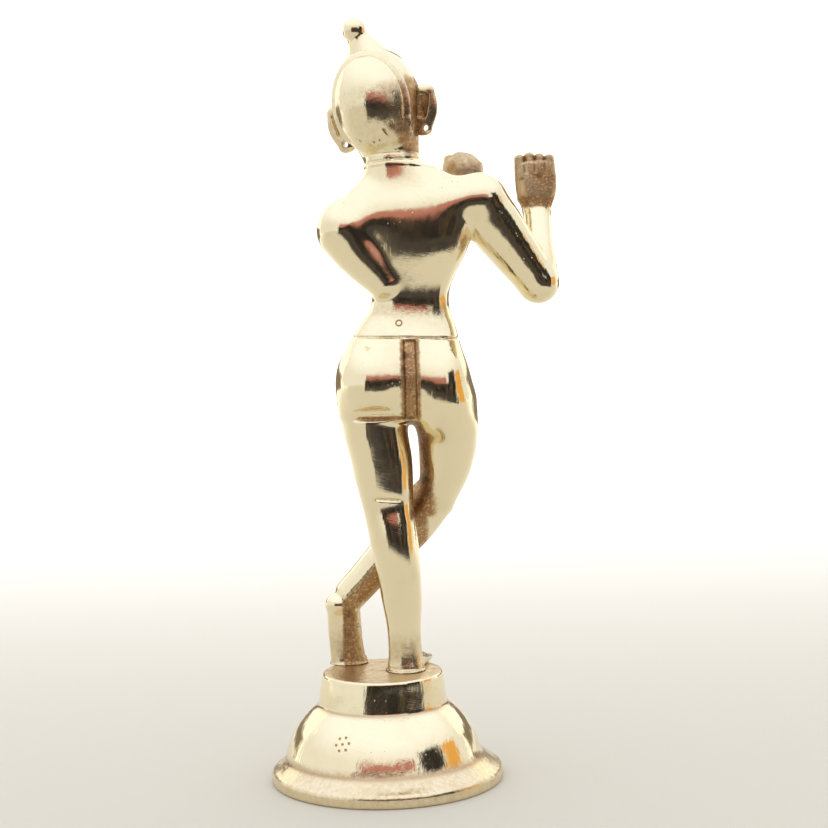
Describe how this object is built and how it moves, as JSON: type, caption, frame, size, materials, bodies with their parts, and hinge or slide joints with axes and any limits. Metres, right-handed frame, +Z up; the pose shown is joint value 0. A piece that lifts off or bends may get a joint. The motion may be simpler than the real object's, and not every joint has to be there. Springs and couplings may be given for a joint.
{
  "type": "krishna figure",
  "caption": "Polished cast brass figure of a flute player, standing cross-legged on a round bell-shaped plinth that is hollow underneath.",
  "frame": {"origin": "on the floor, under the middle of the whole outline; the plinth's own axis is 14.7 mm along +X from it", "axes": "+Z up, the figure faces -Y, and +X is the figure's left-hand side; the picture was taken from behind, from +Y"},
  "size_m": [0.1228, 0.0932, 0.3058],
  "materials": {
    "brass": "pale brass, polished to a mirror with fine polishing scratches, with rough brown cast metal left in the hollows"
  },
  "bodies": {
    "root": {"figure": "brass", "plinth": "brass"}
  },
  "joints": []
}
